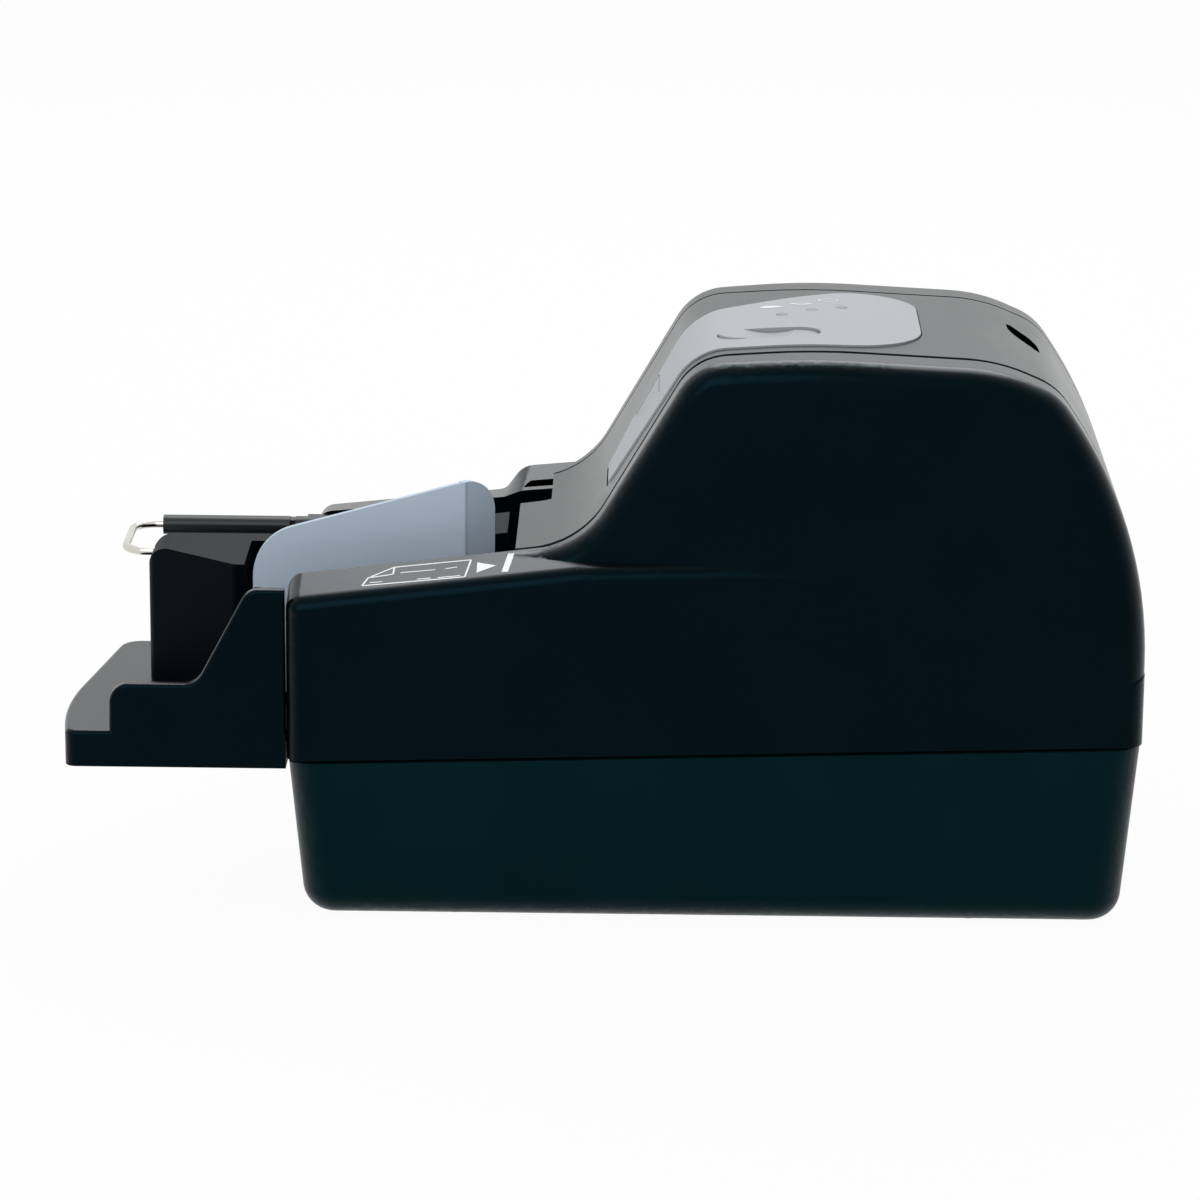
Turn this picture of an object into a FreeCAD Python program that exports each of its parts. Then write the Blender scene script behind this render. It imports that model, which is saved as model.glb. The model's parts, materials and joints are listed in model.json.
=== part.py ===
import FreeCAD, Part
import math
import os
import Sketcher

# A desktop cheque scanner: cheques stand on edge in the front feeder, run along the near
# track, round the rear turn, back along the far track and into the exit pocket.
# +X runs to the rear of the machine, +Y to its far side, +Z up, in millimetres.
# The origin is under the middle of the overall box, at the level of the feet.

SIZES = {
    # outer housing
    "body_front": -92.75, "body_length": 253.5, "body_width": 119.0, "body_height": 174.5,
    "wall": 2.5, "seam_front_height": 50.9, "seam_rear_height": 58.4, "seam_gap": 1.0,
    "edge_round": 6.5, "ledge_round": 5.0, "ledge_tilt_drop": 4.4,
    "shoulder_inset": 5.0, "shoulder_end": 84.0, "shoulder_radius": 705.0,
    "cover_lip_depth": 9.0, "cover_lip_wall": 1.9,
    # base
    "foot_height": 1.0, "foot_radius": 6.0, "foot_inset": 20.0, "base_draft_inset": 4.6,
    "base_corner": 10.0, "base_bottom_round": 9.0, "post_radius": 4.0,
    "screw_radius": 1.5, "screw_head_radius": 2.9, "screw_head_height": 1.8,
    "post_front": -76.0, "post_rear": 146.0, "post_inset": 14.5,
    # paper track
    "track_inset": 17.0, "track_gap": 2.5, "deck_top": 60.5, "deck_thickness": 2.5, "deck_margin": 1.4,
    "guide_wall": 1.6, "guide_clearance": 1.2, "turn_centre": 100.0, "guide_front": -18.0,
    # fits and overruns
    "fit": 0.25, "shaft_clearance": 0.1, "roll_clearance": 0.5, "overrun": 10.0, "far_overrun": 200.0,
    # top cover, its hinge and the panel
    "cover_front": -25.5, "cover_rear_height": 82.7, "pocket_near": 12.0, "pocket_rear": -16.0,
    "hinge_x": -20.0, "hinge_pin_radius": 1.5, "hinge_barrel_radius": 3.2,
    "hinge_ear_length": 8.0,
    "panel_front": 1.6, "panel_rear": 94.5, "panel_near_inset": 6.25,
    "panel_thickness": 1.2, "panel_proud": 0.5, "panel_end_round": 24.0,
    "button_x": 49.0, "button_y": -18.0, "button_length": 30.0, "button_width": 12.0,
    "button_gap": 0.4, "button_height": 7.0, "button_dish_radius": 30.0,
    "button_dish_depth": 1.0, "button_sink": 0.3,
    "light_radius": 1.7, "light_height": 4.0,
    "recess_x": 126.5, "recess_y": 10.0, "recess_reach": 13.0, "recess_slant": 4.6, "recess_half": 4.4,
    "recess_round": 20.0, "recess_tip_round": 1.0,
    # feeder and exit pocket
    "tray_length": 68.0, "tray_bottom": 48.5, "tray_thickness": 11.0, "tray_near_inset": 2.5,
    "tray_far_inset": 19.5,
    "tray_wall": 4.0, "tray_wall_low_height": 74.1, "tray_wall_height": 103.4, "tray_wall_front": -145.3,
    "tray_wall_step": -119.5, "tray_wall_crest": -104.0, "tray_tongue": 14.0, "tray_tongue_half": 40.0,
    "nose_front": -138.6, "nose_top": 102.1, "nose_corner_x": -110.5, "nose_corner_y": -24.0,
    "wall_far_face": 12.0, "wall_near_face": -12.6, "wall_thin_face": 3.5, "wall_rear_top": 109.9,
    "wall_rear": -28.8, "wall_step_x": -107.5, "wall_slope_x": -60.8, "wall_round": 3.0,
    "plate_y": -21.5, "plate_thickness": 2.2, "plate_foot": 61.7, "plate_crease": -41.6,
    "plate_turn": 37.0, "plate_tail": 11.5, "plate_crest": 127.9,
    "plate_pin_x": -103.5, "plate_pin_radius": 1.5, "plate_barrel_radius": 3.2,
    "plate_pin_top": 94.5, "plate_barrel_top": 89.5,
    "wire_radius": 1.25, "wire_height": 97.4, "wire_near": 7.5, "wire_inset": 19.5,
    "wire_front": -147.0, "wire_rear": -91.5, "wire_bend": 7.0,
    "arm_front": -138.0, "arm_rear": -80.0, "arm_width": 6.4, "arm_bottom": 94.4, "arm_top": 100.1,
    "arm_round": 2.4,
    "arm_notch": -98.4, "arm_notch_length": 1.8, "arm_notch_depth": 1.0,
    # rear panel and its sockets
    "rear_panel_rise": 23.7, "jack_y": 22.0, "jack_rise": 12.1, "jack_radius": 5.0, "jack_bore": 3.2,
    "jack_depth": 11.0, "jack_pin_radius": 1.0, "usb_y": -22.0, "usb_width": 13.0, "usb_height": 11.5,
    "usb_depth": 13.0, "usb_wall": 0.8, "usb_tongue": 3.0, "lug_length": 6.0, "lug_width": 8.0,
    "lug_side": 36.0,
    # drive
    "drive_near": 78.0, "drive_radius": 8.9, "tyre_height": 8.0, "tyre_low": 67.5, "tyre_high": 91.5,
    "drive_shaft_radius": 2.0, "drive_shaft_top": 100.8, "pulley_radius": 7.0, "pulley_bottom": 48.0,
    "pulley_height": 5.0, "belt_wall": 1.0, "pinch_radius": 4.8, "pinch_pin_radius": 1.5,
    "motor_x": -30.0, "motor_radius": 16.0, "motor_bottom": 23.5, "motor_height": 23.0,
    "motor_shaft_radius": 1.5, "motor_post_x": 14.0, "motor_post_y": 6.0, "motor_post_radius": 2.0,
    "feed_x": -42.0, "feed_inset": 10.3, "feed_radius": 6.2, "feed_pulley_radius": 4.0,
    "feed_motor_y": -25.0, "feed_motor_radius": 9.0,
    "overall_length": 321.5, "seam_round": 0.8, "tray_bow": 7.0, "tray_wall_round": 6.0,
    "panel_tip_near": -26.0, "panel_tip_far": -4.4, "panel_tip_round": 2.0, "panel_shoulder_near": 22.0,
    "panel_shoulder_round": 24.0, "panel_far_start": 9.0, "panel_far_offset": 4.5, "panel_far_round": 18.0,
    "window_front_near": 11.8, "window_front_far": 9.6, "window_margin": 1.6, "window_rear": 16.5,
    "window_near": -16.2,
    "hinge_inset": 23.5, "hinge_far": -8.0,
    "nose_near": -2.0, "wall_thin_end": -98.0, "nose_side_round": 7.0,
    "plate_front_round": 16.0, "plate_tail_round": 10.0, "plate_front_top": 110.3, "feed_post_y": 6.0,
    # readers and electronics
    "camera_x": 42.5, "camera_length": 15.0, "camera_depth": 18.0, "camera_bottom": 62.0,
    "camera_height": 92.0, "glass_length": 9.0,
    "rear_camera_x": 60.0, "rear_camera_depth": 9.5, "head_x": 20.0, "head_length": 7.0,
    "head_depth": 12.0, "head_height": 18.0, "magnet_x": -16.0,
    "board_front": -70.0, "board_rear": 100.0, "board_half": 38.0, "board_bottom": 9.5,
    "board_thickness": 1.6, "board_post_radius": 2.5, "board_post_inset": 6.0,
    "cartridge_x": 26.0, "cartridge_length": 22.0, "cartridge_depth": 20.0, "cartridge_height": 40.0,
}

# Corners of the side outline as shares of the body's length and height, from the ledge back:
# place along the body, height, corner radius over the body's height.
DOME_SHARES = (
    (0.3414, 0.6602, 0.1607),
    (0.4720, 0.9845, 0.1029),
    (0.6085, 0.9982, 1.3758),
    (0.8215, 0.9829, 0.2861),
    (0.8905, 0.9398, 0.1147),
    (1.0000, 0.7100, 0.7448),
)
CREST_SHARE = 0.9956
# Height of the top cover's hinge.
HINGE_SHARE = 0.61031518
LEDGE_FRONT_SHARE = 0.5937
LEDGE_LIFT_SHARE = 0.25
LEDGE_SHOULDER_SHARES = ((0.3414, 0.6602, 0.1930), (0.6600, 0.6736, 0.1930), (1.0000, 0.4762, 0.0000))
# The far ledge behind the exit pocket: place along the body, height at its inner and its outer
# edge, corner radius, all over the body's length and height.
FAR_FRONT_SHARES = (0.5776, 0.5662)
FAR_LEDGE_SHARES = (
    (0.2416, 0.6098, 0.6018, 0.0229),
    (0.2633, 0.6217, 0.6447, 0.0401),
    (0.3414, 0.6315, 0.6551, 0.1930),
    (0.6600, 0.6736, 0.6736, 0.1930),
    (1.0000, 0.4762, 0.4581, 0.0000),
)
# Status lights: place along the panel, and across it as a share of the top cover's width.
LIGHT_SHARES = ((0.558, 0.504), (0.656, 0.566), (0.754, 0.629))
# Rise of the panel's far edge over its length.
PANEL_FAR_SHARE = 0.523
# Rounds, windows and overlaps as shares of the size that they go with.
END_ROUND_SHARE = 0.98
EAR_WEB_SHARE = 1.6
RIM_REACH_SHARE = 1.6
TRAY_BOW_SHARE = 1.4
TRAY_WALL_ROUND_SHARE = 0.3
TRAY_ROUND_SHARE = 0.6
NOSE_ROUND_SHARE = 1.6
BORE_RUN_SHARE = 1.2
JACK_PIN_SHARE = 0.8
TRAY_RIM_SHARE = 1.5
ISLAND_ROUND_SHARE = 2.4
TYRE_WINDOW_SHARE = 1.7
PINCH_WINDOW_SHARE = 2.6

doc = FreeCAD.newDocument("cheque_scanner")
sheet = doc.addObject("Spreadsheet::Sheet", "dims")
for row, (alias, number) in enumerate(SIZES.items(), start=1):
    sheet.set("A%d" % row, alias)
    sheet.set("B%d" % row, str(number))
    sheet.setAlias("B%d" % row, alias)
doc.recompute()


class Size:
    """A length with its value and the sheet expression that gives it."""

    def __init__(self, value, text):
        self.value = float(value)
        self.text = text

    def __add__(self, other):
        other = as_size(other)
        return Size(self.value + other.value, "(%s + %s)" % (self.text, other.text))

    def __sub__(self, other):
        other = as_size(other)
        return Size(self.value - other.value, "(%s - %s)" % (self.text, other.text))

    def __mul__(self, other):
        other = as_size(other)
        return Size(self.value * other.value, "(%s * %s)" % (self.text, other.text))

    def __truediv__(self, other):
        other = as_size(other)
        return Size(self.value / other.value, "(%s / %s)" % (self.text, other.text))

    def __neg__(self):
        return self * -1

    __radd__ = __add__
    __rmul__ = __mul__


def as_size(number):
    return number if isinstance(number, Size) else Size(number, "(%r)" % float(number))


class Sheet:
    """Gives each named size of the spreadsheet as an attribute."""

    def __getattr__(self, alias):
        return Size(float(sheet.get(alias)), "dims." + alias)


d = Sheet()
ZERO = as_size(0)
PLANES = {
    "XY": (FreeCAD.Rotation(), FreeCAD.Vector(0, 0, 1), 2),
    "XZ": (FreeCAD.Rotation(FreeCAD.Vector(1, 0, 0), 90), FreeCAD.Vector(0, 1, 0), 1),
    "YZ": (FreeCAD.Rotation(FreeCAD.Vector(1, 1, 1), 120), FreeCAD.Vector(1, 0, 0), 0),
}
AXES = ("x", "y", "z")

half_width = d.body_width / 2
body_rear = d.body_front + d.body_length
track_offset = half_width - d.track_inset
slot_outer = track_offset + d.track_gap / 2
slot_inner = track_offset - d.track_gap / 2
deck_bottom = d.deck_top - d.deck_thickness
feed_y = d.feed_inset - half_width
hinge_near = d.hinge_inset - half_width
wire_far = half_width - d.wire_inset
tray_near = d.tray_near_inset - half_width
tray_far = half_width - d.tray_far_inset
panel_near = d.panel_near_inset - slot_inner
cover_far = slot_outer - d.seam_gap / 2
rear_panel_top = d.seam_rear_height + d.rear_panel_rise
jack_height = d.seam_rear_height + d.jack_rise
hinge_height = d.body_height * HINGE_SHARE
seam_slope = (d.seam_rear_height - d.seam_front_height) / d.body_length


def seam(x):
    return d.seam_front_height + (x - d.body_front) * seam_slope


def add(kind, name):
    return doc.addObject(kind, name)


def bind(item, place, size):
    item.setExpression(place, as_size(size).text)


def move(item, x=ZERO, y=ZERO, z=ZERO):
    for axis, size in zip(AXES, (x, y, z)):
        bind(item, "Placement.Base." + axis, size)
    return item


def outline(name, plane, corners, at=ZERO):
    """A closed sketch of straight edges, each corner (across, up, radius) rounded by an arc."""
    sketch = add("Sketcher::SketchObject", name)
    rotation, direction, axis = PLANES[plane]
    sketch.Placement = FreeCAD.Placement(direction * as_size(at).value, rotation)
    bind(sketch, "Placement.Base." + AXES[axis], at)
    corners = [tuple(as_size(number) for number in corner) for corner in corners]
    points = [FreeCAD.Vector(corner[0].value, corner[1].value, 0) for corner in corners]
    count = len(points)
    ends, starts, arcs = [], [], {}
    for i, point in enumerate(points):
        radius = corners[i][2].value
        back = (points[i - 1] - point).normalize()
        ahead = (points[(i + 1) % count] - point).normalize()
        if radius:
            half = back.getAngle(ahead) / 2
            ends.append(point + back * (radius / math.tan(half)))
            starts.append(point + ahead * (radius / math.tan(half)))
            arcs[i] = point + (back + ahead).normalize() * (radius / math.sin(half))
        else:
            ends.append(point)
            starts.append(point)
    lines = [sketch.addGeometry(Part.LineSegment(starts[i], ends[(i + 1) % count])) for i in range(count)]
    bound = []
    for i, point in enumerate(points):
        before, after = lines[i - 1], lines[i]
        if i in arcs:
            centre = arcs[i]
            first, last = ends[i] - centre, starts[i] - centre
            low = math.atan2(first.y, first.x)
            turn = (math.atan2(last.y, last.x) - low) % math.tau
            order = (1, 2)
            if turn > math.pi:
                low, turn, order = low + turn, math.tau - turn, (2, 1)
            circle = Part.Circle(centre, FreeCAD.Vector(0, 0, 1), corners[i][2].value)
            arc = sketch.addGeometry(Part.ArcOfCircle(circle, low, low + turn))
            sketch.addConstraint(Sketcher.Constraint("Tangent", before, 2, arc, order[0]))
            sketch.addConstraint(Sketcher.Constraint("Tangent", arc, order[1], after, 1))
            corner = sketch.addGeometry(Part.Point(point), True)
            sketch.addConstraint(Sketcher.Constraint("PointOnObject", corner, 1, before))
            sketch.addConstraint(Sketcher.Constraint("PointOnObject", corner, 1, after))
            radius = sketch.addConstraint(Sketcher.Constraint("Radius", arc, corners[i][2].value))
            bound.append((radius, corners[i][2]))
        else:
            corner = after
            sketch.addConstraint(Sketcher.Constraint("Coincident", before, 2, after, 1))
        across = sketch.addConstraint(Sketcher.Constraint("DistanceX", -1, 1, corner, 1, point.x))
        up = sketch.addConstraint(Sketcher.Constraint("DistanceY", -1, 1, corner, 1, point.y))
        bound += [(across, corners[i][0]), (up, corners[i][1])]
    for index, size in bound:
        bind(sketch, "Constraints[%d]" % index, size)
    return sketch


def extrude(name, base, plane, length):
    solid = add("Part::Extrusion", name)
    solid.Base = base
    solid.DirMode = "Custom"
    solid.Dir = PLANES[plane][1]
    solid.Solid = True
    bind(solid, "LengthFwd", length)
    return solid


def prism(name, plane, corners, start, end):
    """The outline's prism from start to end along the plane's normal axis."""
    return extrude(name, outline(name + "_outline", plane, corners, start), plane, end - start)


def offset(name, base, distance):
    ring = add("Part::Offset2D", name)
    ring.Source = base
    ring.Join = "Intersection"
    bind(ring, "Value", distance)
    return ring


def box(name, x, y, z):
    """A block between two places along each axis, in either order."""
    solid = add("Part::Box", name)
    for axis, side, (low, high) in zip(AXES, ("Length", "Width", "Height"), (x, y, z)):
        low, high = as_size(low), as_size(high)
        if low.value > high.value:
            low, high = high, low
        bind(solid, side, high - low)
        bind(solid, "Placement.Base." + axis, low)
    return solid


def rod(name, centre, radius, length, plane="XY"):
    """A cylinder from centre along the plane's normal axis."""
    solid = add("Part::Cylinder", name)
    turn = FreeCAD.Rotation(FreeCAD.Vector(0, 0, 1), PLANES[plane][1])
    solid.Placement = FreeCAD.Placement(FreeCAD.Vector(), turn)
    bind(solid, "Radius", radius)
    bind(solid, "Height", length)
    return move(solid, *centre)


def fuse(name, *items):
    solid = add("Part::MultiFuse", name)
    solid.Shapes = list(items)
    return solid


def group(name, *items):
    solid = add("Part::Compound", name)
    solid.Links = list(items)
    return solid


def cut(name, base, *tools):
    solid = add("Part::Cut", name)
    solid.Base = base
    solid.Tool = tools[0] if len(tools) == 1 else fuse(name + "_tools", *tools)
    return solid


def common(name, *items):
    solid = add("Part::MultiCommon", name)
    solid.Shapes = list(items)
    return solid


def round_edges(name, base, radius, wanted):
    """Rounds the edges of base for which wanted(edge) is true."""
    doc.recompute()
    solid = add("Part::Fillet", name)
    solid.Base = base
    size = as_size(radius).value
    edges = [i for i, edge in enumerate(base.Shape.Edges, start=1) if wanted(edge)]
    solid.Edges = [(i, size, size) for i in edges]
    return solid


def box_of(edge):
    return edge.BoundBox


NODES = []


def node(item, name):
    """Names a finished sub-part."""
    item.Label = name
    NODES.append(item)
    return item


def along(share):
    return d.body_front + d.body_length * share


def up(share):
    return d.body_height * share


def rounded_plan(inset, corner):
    """Corners of the body's plan, drawn in by inset."""
    left, right = d.body_front + inset, body_rear - inset
    side = half_width - inset
    return ((left, -side, corner), (right, -side, corner), (right, side, corner), (left, side, corner))


def dome_corners(foot, front):
    """The side outline from the ledge over the dome and down the rear, closed at foot."""
    ledge_slope = (up(DOME_SHARES[0][1]) - up(LEDGE_FRONT_SHARE)) / (d.body_length * DOME_SHARES[0][0])
    start = up(LEDGE_FRONT_SHARE) + (front - d.body_front) * ledge_slope
    corners = [(front, foot, ZERO), (front, start, ZERO)]
    corners += [(along(x), up(z), d.body_height * radius) for x, z, radius in DOME_SHARES]
    return corners + [(body_rear, foot, ZERO)]


# Seam and base
def loft(name, low, high):
    solid = add("Part::Loft", name)
    solid.Sections = [low, high]
    solid.Solid = True
    solid.Ruled = True
    return solid


def above_seam(name, lift):
    """Everything above the slanted seam, raised by lift."""
    low, high = d.body_front - d.overrun, body_rear + d.overrun
    corners = ((low, seam(low) + lift, ZERO), (high, seam(high) + lift, ZERO),
               (high, d.far_overrun, ZERO), (low, d.far_overrun, ZERO))
    return prism(name, "XZ", corners, -half_width - d.overrun, half_width + d.overrun)


def posts(name, radius, bottom, top, places):
    return [rod("%s_%d" % (name, i), (x, y, bottom), radius, top - bottom)
            for i, (x, y) in enumerate(places, start=1)]


POST_PLACES = [(x, side * (half_width - d.post_inset))
               for x in (d.post_front, d.post_rear) for side in (-1, 1)]
BOARD_PLACES = [(x, side * (d.board_half - d.board_post_inset))
                for x in (d.board_front + d.board_post_inset, d.board_rear - d.board_post_inset)
                for side in (-1, 1)]


def make_base():
    floor = d.foot_height + d.wall
    draft = d.base_draft_inset
    low = outline("base_low", "XY", rounded_plan(draft, d.base_corner), d.foot_height)
    high = outline("base_high", "XY", rounded_plan(ZERO, d.base_corner), seam(ZERO))
    high.Placement.Rotation = FreeCAD.Rotation(FreeCAD.Vector(0, 1, 0),
                                               -math.degrees(math.atan(seam_slope.value)))
    outer = loft("base_outer", low, high)
    rounded = round_edges("base_rounded", outer, d.base_bottom_round,
                          lambda edge: box_of(edge).ZMax < d.foot_height.value + d.wall.value / 2)
    inner_corner = d.base_corner - d.wall
    inner_low = outline("base_inner_low", "XY", rounded_plan(draft + d.wall, inner_corner), floor)
    inner_high = outline("base_inner_high", "XY", rounded_plan(d.wall, inner_corner),
                         d.seam_rear_height + d.overrun)
    hollow = loft("base_hollow", inner_low, inner_high)
    shell = cut("base_walls", rounded, hollow)
    lugs = posts("deck_post", d.post_radius, floor - d.wall / 2, deck_bottom, POST_PLACES)
    lugs += posts("board_post", d.board_post_radius, floor - d.wall / 2, d.board_bottom, BOARD_PLACES)
    trimmed = cut("base_trimmed", shell, above_seam("base_seam", -d.seam_gap / 2))
    holes = posts("screw_hole", d.screw_radius + d.shaft_clearance, ZERO, deck_bottom + d.overrun,
                  POST_PLACES)
    holes += posts("screw_recess", d.screw_head_radius + d.fit, ZERO,
                   d.foot_height + d.screw_head_height + d.fit, POST_PLACES)
    node(cut("base", fuse("base_with_posts", trimmed, *lugs), *holes), "base_shell")
    screws = []
    for i, (x, y) in enumerate(POST_PLACES, start=1):
        head = rod("screw_head_%d" % i, (x, y, d.foot_height + d.fit), d.screw_head_radius,
                   d.screw_head_height)
        shank = rod("screw_shank_%d" % i, (x, y, d.foot_height + d.fit + d.screw_head_height),
                    d.screw_radius, deck_bottom - floor - d.overrun)
        screws.append(fuse("screw_%d" % i, head, shank))
    node(group("screws", *screws), "base_screws")
    inset = d.base_draft_inset + d.foot_inset
    foot_places = [(x, side * (half_width - d.foot_inset))
                   for x in (d.body_front + inset * 2, body_rear - inset * 2) for side in (-1, 1)]
    feet = posts("foot", d.foot_radius, ZERO, d.foot_height, foot_places)
    node(group("feet", *feet), "rubber_feet")


# Side covers
def lateral(side, inner, outer):
    """A stretch across the body on one side, lowest first."""
    return (inner, outer) if side > 0 else (-outer, -inner)


def make_side_cover(name, side, front):
    foot = d.seam_front_height - d.overrun
    inner, outer = slot_outer, half_width
    dome_start = d.guide_front - d.overrun
    dome_front = dome_start if side < 0 else d.pocket_rear

    def ledge(edge):
        """The ledge's outline at its inner edge (0) or its outer edge (1)."""
        if side < 0:
            drop = d.ledge_tilt_drop * edge
            start = up(LEDGE_FRONT_SHARE) + d.ledge_tilt_drop * LEDGE_LIFT_SHARE - drop
            places = [(along(x), up(z) - drop, d.body_height * radius)
                      for x, z, radius in LEDGE_SHOULDER_SHARES]
        else:
            start = up(FAR_FRONT_SHARES[edge])
            places = [(along(place[0]), up(place[1 + edge]), d.body_height * place[3])
                      for place in FAR_LEDGE_SHARES]
        return [(front, foot, ZERO), (front, start, d.ledge_round), *places, (body_rear, foot, ZERO)]

    inner_face = outline(name + "_ledge_inner", "XZ", ledge(0), side * inner)
    outer_face = outline(name + "_ledge_outer", "XZ", ledge(1), side * outer)
    ledge_block = loft(name + "_ledge", inner_face, outer_face)
    rim = outer.value

    def on_rim(edge):
        bounds = box_of(edge)
        near = min(abs(bounds.YMin - side * rim), abs(bounds.YMax - side * rim)) < d.fit.value
        flat = bounds.YLength < d.shoulder_inset.value * 2
        return near and flat and bounds.ZMax > foot.value + d.fit.value

    # the far ledge keeps its twisted rim sharp
    ledge_round = ledge_block
    if side < 0:
        ledge_round = round_edges(name + "_ledge_rounded", ledge_block, d.ledge_round, on_rim)
    dome = prism(name + "_dome_block", "XZ", dome_corners(foot, dome_start),
                 *lateral(side, inner, outer))

    def shoulder(tag, inset):
        """The curved side of the dome, drawn in at the front, flush behind shoulder_end."""
        round_side = rod(name + tag + "_round",
                         (d.shoulder_end, side * (half_width - d.shoulder_radius), ZERO),
                         d.shoulder_radius - inset, d.far_overrun)
        flat_side = box(name + tag + "_flat", (d.shoulder_end, body_rear + d.overrun),
                        (ZERO, side * (half_width - inset)), (ZERO, d.far_overrun))
        return fuse(name + tag, round_side, flat_side)

    def behind(tag, start):
        return box(name + tag, (start, body_rear), (-half_width, half_width), (ZERO, d.far_overrun))

    dome_cut = common(name + "_dome", dome, shoulder("_side", ZERO), behind("_dome_limit", dome_front))

    def on_dome_rim(edge):
        bounds = box_of(edge)
        reach = min(side * bounds.YMin, side * bounds.YMax)
        low = rim - d.shoulder_inset.value * RIM_REACH_SHARE
        return reach > low and bounds.ZMax > foot.value + d.fit.value and not upright(edge)

    def upright(edge):
        bounds = box_of(edge)
        return bounds.XLength < d.fit.value and bounds.XMax < body_rear.value - d.fit.value

    dome_round = round_edges(name + "_dome_rounded", dome_cut, d.edge_round, on_dome_rim)
    solid = fuse(name + "_solid", ledge_round, dome_round)
    # the hollow: under the ledge, and inside the dome
    low_ledge = offset(name + "_ledge_hollow_face", outer_face, -d.wall)
    ledge_hollow = extrude(name + "_ledge_hollow", low_ledge, "XZ",
                           outer - inner - d.wall - d.cover_lip_wall)
    ledge_shift = lateral(side, inner + d.cover_lip_wall, outer - d.wall)[0] - side * outer
    bind(ledge_hollow, "Placement.Base.y", ledge_shift)
    inner_dome = prism(name + "_dome_hollow_block", "XZ", dome_corners(foot, dome_start),
                       *lateral(side, inner + d.cover_lip_wall, outer))
    dome_face = offset(name + "_dome_hollow_face", inner_dome.Base, -d.wall)
    dome_hollow = extrude(name + "_dome_hollow_prism", dome_face, "XZ", outer - inner - d.cover_lip_wall)
    dome_inside = common(name + "_dome_hollow", dome_hollow, shoulder("_inside", d.wall),
                         behind("_hollow_limit", dome_front + d.wall))
    lip_range = lateral(side, inner - d.overrun / 2, outer - d.wall - d.shoulder_inset - d.overrun / 2)
    lip_outline = outline(name + "_lip_outline", "XZ", dome_corners(foot, d.guide_front - d.overrun),
                          lip_range[0])
    lip_face = offset(name + "_lip_face", lip_outline, -d.cover_lip_depth)
    lip_open = extrude(name + "_lip_open", lip_face, "XZ", lip_range[1] - lip_range[0])
    lip = common(name + "_lip", lip_open, behind("_lip_limit", d.guide_front))
    under = box(name + "_under", (front + d.wall, body_rear - d.wall),
                lateral(side, inner - d.overrun, outer - d.wall), (ZERO, d.deck_top))
    hollow = cut(name + "_hollow", solid, ledge_hollow, dome_inside, lip, under)
    return common(name + "_trimmed", hollow, above_seam(name + "_seam", d.seam_gap / 2))


def make_covers():
    near = make_side_cover("near_cover", -1, d.body_front)
    window = box("feed_window", (d.feed_x - d.feed_radius - d.fit * 2, d.feed_x + d.feed_radius + d.fit * 2),
                 (-slot_outer + d.fit, -slot_outer - d.cover_lip_wall - d.fit),
                 (d.tyre_low - d.fit * 4, d.tyre_high + d.tyre_height + d.fit * 4))
    node(cut("right", near, window), "right_cover")
    far = make_side_cover("far_cover", 1, d.body_front + d.wall)
    node(far, "left_cover")


# Top cover, its panel and what sits in it
def crest(x):
    """Height of the side outline where it rises to its crest, and its level behind that."""
    (x1, z1, _), (x2, z2, _) = DOME_SHARES[1], DOME_SHARES[2]
    rising = up(z1) + (x - along(x1)) * (up(z2) - up(z1)) / (along(x2) - along(x1))
    level = up(CREST_SHARE)
    return rising if rising.value < level.value else level


def panel_far(x):
    """The panel's far edge, slanted in plan."""
    return d.panel_far_offset + (x - d.panel_far_start) * PANEL_FAR_SHARE


def panel_corners(grow):
    front, rear = d.panel_front - grow, d.panel_rear + grow
    return ((front, d.panel_tip_near - grow, d.panel_tip_round),
            (d.panel_shoulder_near, panel_near - grow, d.panel_shoulder_round),
            (rear, panel_near - grow, d.panel_end_round),
            (rear, panel_far(d.panel_rear) + grow, d.panel_far_round),
            (d.panel_far_start, d.panel_far_offset + grow, d.panel_tip_round * 2),
            (front, d.panel_tip_far + grow, d.panel_tip_round))


def stadium(x, y, length, width, grow):
    low_x, high_x = x - length / 2 - grow, x + length / 2 + grow
    low_y, high_y = y - width / 2 - grow, y + width / 2 + grow
    radius = (width / 2 + grow) * END_ROUND_SHARE
    return ((low_x, low_y, radius), (high_x, low_y, radius), (high_x, high_y, radius),
            (low_x, high_y, radius))


def window_corners(grow):
    front_near, front_far, rear = d.window_front_near - grow, d.window_front_far - grow, d.window_rear + grow
    return ((front_near, d.window_near - grow, ZERO),
            (rear, d.window_near - grow, ZERO),
            (rear, panel_far(d.window_rear) - d.window_margin + grow, ZERO),
            (front_far, panel_far(d.window_front_far) - d.window_margin + grow, ZERO))


def skin(name, high, low):
    """The layer between two offsets of the side outline, right across the top cover."""
    face = outline(name + "_face", "XZ", dome_corners(d.cover_rear_height, d.cover_front), -slot_inner)
    layers = [extrude(name + tag, offset(name + tag + "_offset", face, lift), "XZ", slot_inner * 2)
              for tag, lift in (("_high", high), ("_low", low))]
    return cut(name, *layers)


def light_places():
    length, width = d.panel_rear - d.panel_front, slot_inner * 2
    return [(d.panel_front + length * x, panel_near + width * y) for x, y in LIGHT_SHARES]


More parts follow.
